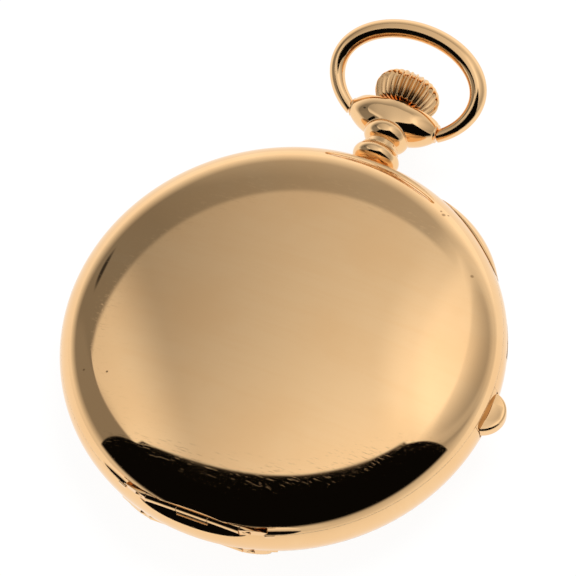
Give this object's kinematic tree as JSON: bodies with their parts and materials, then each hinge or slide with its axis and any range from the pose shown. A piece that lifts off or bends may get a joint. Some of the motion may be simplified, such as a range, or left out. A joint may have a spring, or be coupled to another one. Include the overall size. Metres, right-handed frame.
{
  "type": "hunter case pocket watch",
  "caption": "Full hunter pocket watch: hinged front and back covers, fluted winding crown in a round bow, slide and side push-piece, with dial, hands, glass and movement.",
  "frame": {"origin": "on the case axis, at the flat middle of the back cover that the watch lies on", "axes": "+Z along the case axis towards the front cover, +Y from the case axis to the pendant and bow, +X to the side push-piece"},
  "size_m": [0.0579, 0.0746, 0.015],
  "materials": {
    "gold": "polished",
    "glass": "clear",
    "enamel": "gloss",
    "blued_steel": "polished",
    "steel": "satin",
    "gilt_brass": "satin",
    "ruby": "polished"
  },
  "bodies": {
    "case": {"case_middle": "gold", "front_hinge_pin": "steel", "back_hinge_pin": "steel", "dust_cover_hinge_pin": "steel", "bezel": "gold", "glass": "glass", "pendant": "gold", "cover_catch_spring": "steel", "cover_lift_spring": "steel", "dial": "enamel", "main_plate": "gilt_brass", "barrel_bridge": "gilt_brass", "train_bridge": "gilt_brass", "pallet_cock": "gilt_brass", "balance_cock": "gilt_brass", "hairspring": "blued_steel", "regulator": "steel", "click_spring": "steel", "gongs": "steel", "jewels": "ruby", "bridge_screws": "blued_steel", "case_screws": "blued_steel"},
    "front_cover": {"front_cover": "gold"},
    "back_cover": {"back_cover": "gold"},
    "dust_cover": {"dust_cover": "gold"},
    "bow": {"bow": "gold"},
    "stem_sleeve": {"push_sleeve": "steel"},
    "crown": {"crown": "gold", "winding_stem": "steel"},
    "winding_pinion": {"winding_pinion": "steel"},
    "sliding_pinion": {"sliding_pinion": "steel"},
    "crown_wheel": {"crown_wheel": "steel"},
    "ratchet": {"ratchet_wheel": "steel", "barrel_arbor": "steel"},
    "setting_lever": {"setting_lever": "steel"},
    "click": {"click": "steel"},
    "seconds_wheel": {"fourth_wheel": "gilt_brass", "seconds_hand": "blued_steel"},
    "escape_wheel": {"escape_wheel": "steel"},
    "third_wheel": {"third_wheel": "gilt_brass"},
    "centre_wheel": {"centre_wheel": "gilt_brass", "cannon_pinion": "steel", "minute_hand": "blued_steel"},
    "barrel": {"barrel_drum": "gilt_brass", "mainspring": "steel"},
    "minute_wheel": {"minute_wheel": "gilt_brass"},
    "hour_wheel": {"hour_wheel": "gilt_brass", "hour_hand": "blued_steel"},
    "pallet_fork": {"pallet_fork": "steel"},
    "balance": {"balance_wheel": "gilt_brass"},
    "chronograph_wheel": {"chronograph_wheel": "steel", "chronograph_hand": "blued_steel"},
    "pusher": {"chronograph_pusher": "gold"},
    "pusher_lever": {"pusher_lever": "steel"},
    "column_wheel": {"column_wheel": "steel"},
    "repeating_slide": {"repeating_slide": "gold"},
    "hour_hammer": {"hour_hammer": "steel"},
    "quarter_hammer": {"quarter_hammer": "steel"}
  },
  "joints": [
    {"name": "front_cover_hinge", "type": "hinge", "parent": "case", "child": "front_cover", "pos_m": [0, -0.02645, 0.00995], "axis": [1, 0, 0], "range_deg": [0, 95]},
    {"name": "back_cover_hinge", "type": "hinge", "parent": "case", "child": "back_cover", "pos_m": [0, -0.02645, 0.00495], "axis": [-1, 0, 0], "range_deg": [0, 95]},
    {"name": "dust_cover_hinge", "type": "hinge", "parent": "case", "child": "dust_cover", "pos_m": [0, -0.02435, 0.0049], "axis": [-1, 0, 0], "range_deg": [0, 85]},
    {"name": "bow_swing", "type": "hinge", "parent": "case", "child": "bow", "pos_m": [0, 0.0351, 0.00745], "axis": [1, 0, 0], "range_deg": [-153, 97]},
    {"name": "crown_push_pull", "type": "slide", "parent": "case", "child": "stem_sleeve", "axis": [0, 1, 0], "range_m": [-0.0005, 0.0009]},
    {"name": "crown_turn", "type": "hinge", "parent": "stem_sleeve", "child": "crown", "pos_m": [0, 0, 0.00745], "axis": [0, 1, 0], "continuous": true},
    {"name": "winding_pinion_turn", "type": "hinge", "parent": "case", "child": "winding_pinion", "pos_m": [0, 0, 0.00745], "axis": [0, 1, 0], "continuous": true},
    {"name": "sliding_pinion_turn", "type": "hinge", "parent": "case", "child": "sliding_pinion", "pos_m": [0, 0, 0.00745], "axis": [0, 1, 0], "continuous": true},
    {"name": "crown_wheel_turn", "type": "hinge", "parent": "case", "child": "crown_wheel", "pos_m": [0, 0.0126, 0.00745], "axis": [0, 0, 1], "continuous": true},
    {"name": "ratchet_turn", "type": "hinge", "parent": "case", "child": "ratchet", "pos_m": [-0.00619, 0.0045, 0.00745], "axis": [0, 0, 1], "continuous": true},
    {"name": "setting_lever_swing", "type": "hinge", "parent": "case", "child": "setting_lever", "pos_m": [-0.0044, 0.01892, 0.00745], "axis": [0, 0, 1], "range_deg": [-8, 13]},
    {"name": "click_swing", "type": "hinge", "parent": "case", "child": "click", "pos_m": [-0.01335, 0.00116, 0.00745], "axis": [0, 0, 1], "range_deg": [0, 6]},
    {"name": "seconds_wheel_turn", "type": "hinge", "parent": "case", "child": "seconds_wheel", "pos_m": [0.0102, 0, 0.00745], "axis": [0, 0, -1], "continuous": true},
    {"name": "escape_wheel_turn", "type": "hinge", "parent": "case", "child": "escape_wheel", "pos_m": [0.00898, -0.00426, 0.00745], "axis": [0, 0, -1], "continuous": true},
    {"name": "third_wheel_turn", "type": "hinge", "parent": "case", "child": "third_wheel", "pos_m": [0.00557, 0.00253, 0.00745], "axis": [0, 0, -1], "continuous": true},
    {"name": "centre_wheel_turn", "type": "hinge", "parent": "case", "child": "centre_wheel", "pos_m": [0, 0, 0.00745], "axis": [0, 0, -1], "continuous": true},
    {"name": "barrel_turn", "type": "hinge", "parent": "case", "child": "barrel", "pos_m": [-0.00619, 0.0045, 0.00745], "axis": [0, 0, -1], "continuous": true},
    {"name": "minute_wheel_turn", "type": "hinge", "parent": "case", "child": "minute_wheel", "pos_m": [-0.00119, 0.00365, 0.00745], "axis": [0, 0, -1], "continuous": true},
    {"name": "hour_wheel_turn", "type": "hinge", "parent": "case", "child": "hour_wheel", "pos_m": [0, 0, 0.00745], "axis": [0, 0, -1], "continuous": true},
    {"name": "pallet_fork_rock", "type": "hinge", "parent": "case", "child": "pallet_fork", "pos_m": [0.0067, -0.00678, 0.00745], "axis": [0, 0, 1], "range_deg": [-4, 4]},
    {"name": "balance_swing", "type": "hinge", "parent": "case", "child": "balance", "pos_m": [0.00343, -0.01042, 0.00745], "axis": [0, 0, 1], "range_deg": [-270, 270], "stiffness_Nm_per_rad": 0.0000012},
    {"name": "chronograph_wheel_turn", "type": "hinge", "parent": "case", "child": "chronograph_wheel", "pos_m": [0, 0, 0.00745], "axis": [0, 0, -1], "continuous": true},
    {"name": "pusher_press", "type": "slide", "parent": "case", "child": "pusher", "axis": [-1, 0, 0], "range_m": [0, 0.0005], "stiffness_N_per_m": 1500},
    {"name": "pusher_lever_swing", "type": "hinge", "parent": "case", "child": "pusher_lever", "pos_m": [0.0182, 0.0032, 0.00745], "axis": [0, 0, 1], "range_deg": [-9.1, 0]},
    {"name": "column_wheel_turn", "type": "hinge", "parent": "case", "child": "column_wheel", "pos_m": [0.0146, 0.0046, 0.00745], "axis": [0, 0, 1], "range_deg": [0, 30.1]},
    {"name": "repeating_slide_run", "type": "hinge", "parent": "case", "child": "repeating_slide", "pos_m": [0, 0, 0.00745], "axis": [0, 0, -1], "range_deg": [0, 28], "stiffness_Nm_per_rad": 0.02},
    {"name": "hour_hammer_strike", "type": "hinge", "parent": "case", "child": "hour_hammer", "pos_m": [-0.01504, -0.00702, 0.00745], "axis": [0, 0, 1], "range_deg": [-5, 3], "stiffness_Nm_per_rad": 0.0002},
    {"name": "quarter_hammer_strike", "type": "hinge", "parent": "case", "child": "quarter_hammer", "pos_m": [-0.01022, -0.01308, 0.00745], "axis": [0, 0, 1], "range_deg": [-5, 3], "stiffness_Nm_per_rad": 0.0002}
  ],
  "couplings": [
    {"joint": "dust_cover_hinge", "follows": "back_cover_hinge", "ratio": 0.89474},
    {"joint": "winding_pinion_turn", "follows": "crown_turn", "ratio": 1},
    {"joint": "sliding_pinion_turn", "follows": "crown_turn", "ratio": 1},
    {"joint": "crown_wheel_turn", "follows": "crown_turn", "ratio": 0.5},
    {"joint": "ratchet_turn", "follows": "crown_turn", "ratio": -0.33333},
    {"joint": "setting_lever_swing", "follows": "crown_push_pull", "rad_per_m": 227.27},
    {"joint": "escape_wheel_turn", "follows": "seconds_wheel_turn", "ratio": -10},
    {"joint": "third_wheel_turn", "follows": "seconds_wheel_turn", "ratio": -0.13333},
    {"joint": "centre_wheel_turn", "follows": "seconds_wheel_turn", "ratio": 0.016667},
    {"joint": "barrel_turn", "follows": "seconds_wheel_turn", "ratio": -0.0020833},
    {"joint": "minute_wheel_turn", "follows": "seconds_wheel_turn", "ratio": -0.0055556},
    {"joint": "hour_wheel_turn", "follows": "seconds_wheel_turn", "ratio": 0.0013889},
    {"joint": "pusher_lever_swing", "follows": "pusher_press", "rad_per_m": -312.5},
    {"joint": "column_wheel_turn", "follows": "pusher_press", "rad_per_m": 1047.2}
  ]
}
